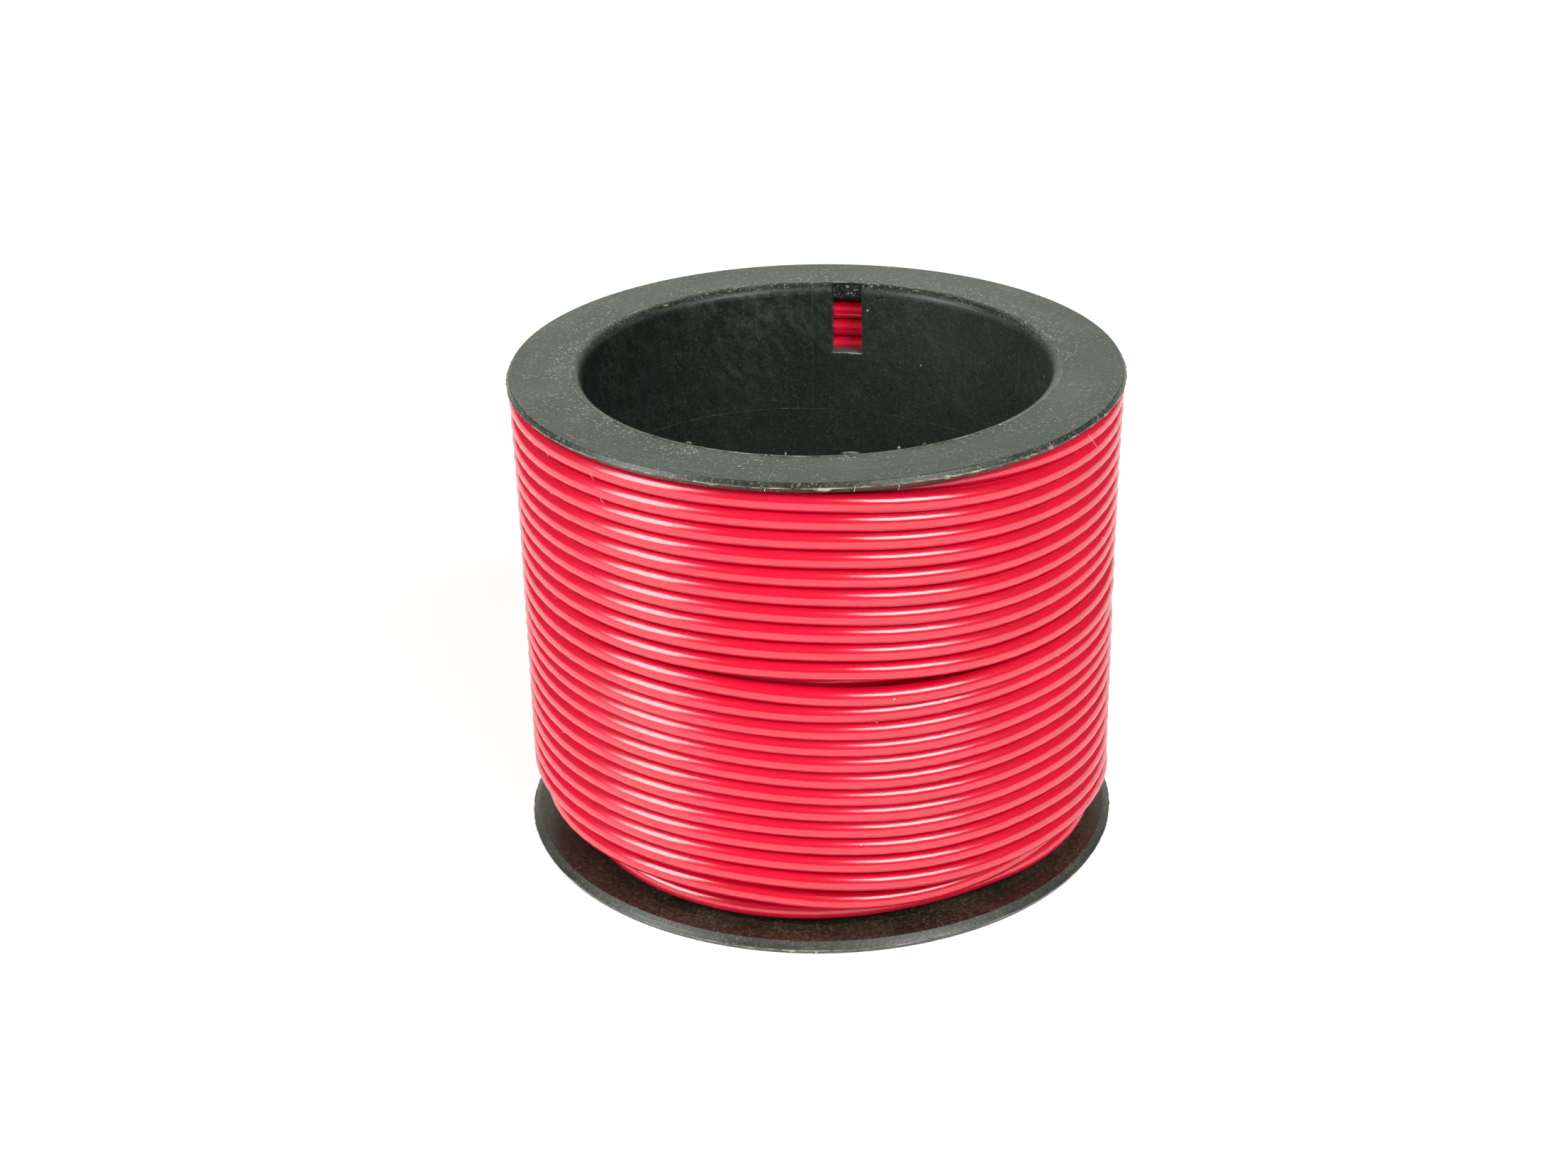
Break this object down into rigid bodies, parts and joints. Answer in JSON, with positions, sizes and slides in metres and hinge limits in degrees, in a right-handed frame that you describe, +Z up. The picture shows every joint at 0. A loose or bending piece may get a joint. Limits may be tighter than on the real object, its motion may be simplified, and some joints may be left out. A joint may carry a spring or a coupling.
{
  "type": "wire spool",
  "caption": "Small flanged spool with a hollow barrel, fully wound with layers of red insulated hook-up wire.",
  "frame": {"origin": "middle of the lower flange's outer face, on the spool's axis", "axes": "+Z up the spool's axis, from the lower flange to the upper; the barrel's slot is on the +Y side"},
  "size_m": [0.05, 0.05, 0.0405],
  "materials": {
    "spool_plastic": "matt moulded black plastic, dusty, with fine scratches",
    "wire_insulation": "glossy red PVC",
    "copper": "bright bare copper strands"
  },
  "bodies": {
    "root": {"spool": "spool_plastic", "wire_inner_layer": "wire_insulation", "wire_middle_layer": "wire_insulation", "wire_outer_layer": "wire_insulation", "wire_tail": "wire_insulation", "conductor_strands": "copper"}
  },
  "joints": []
}
